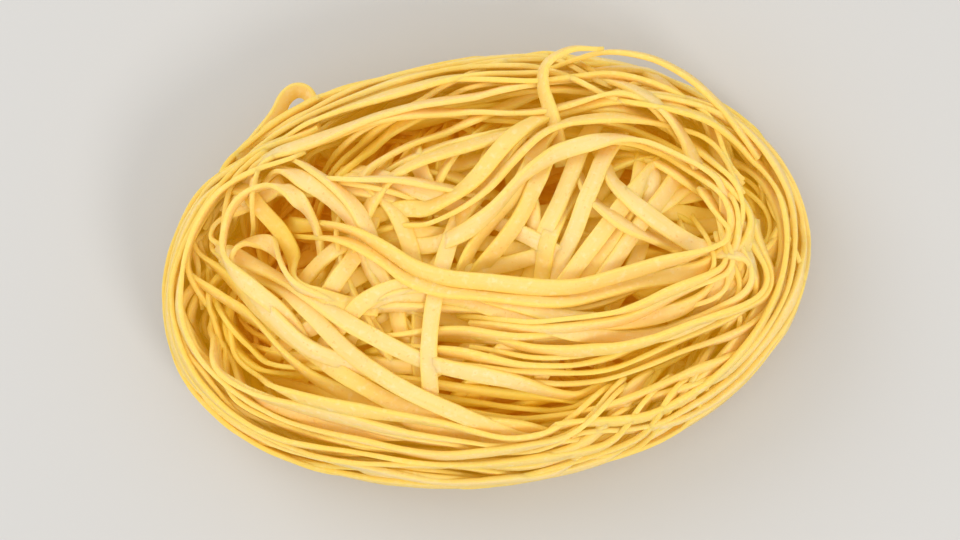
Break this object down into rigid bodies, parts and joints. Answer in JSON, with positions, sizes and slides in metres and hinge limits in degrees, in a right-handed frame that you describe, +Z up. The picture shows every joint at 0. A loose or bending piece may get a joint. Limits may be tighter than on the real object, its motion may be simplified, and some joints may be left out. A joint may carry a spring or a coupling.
{
  "type": "dry pasta nest",
  "caption": "Oval nest of flat dried egg noodles, wound in loops that cross over a rounded top, on a flat base.",
  "frame": {"origin": "middle of the flat base, on the surface that the nest stands on", "axes": "+X along the nest's length, +Y across it towards its back, +Z up"},
  "size_m": [0.1163, 0.078, 0.0415],
  "materials": {
    "pasta": "pale yellow dried egg pasta, matt and slightly floury"
  },
  "bodies": {
    "root": {"nest": "pasta"}
  },
  "joints": []
}
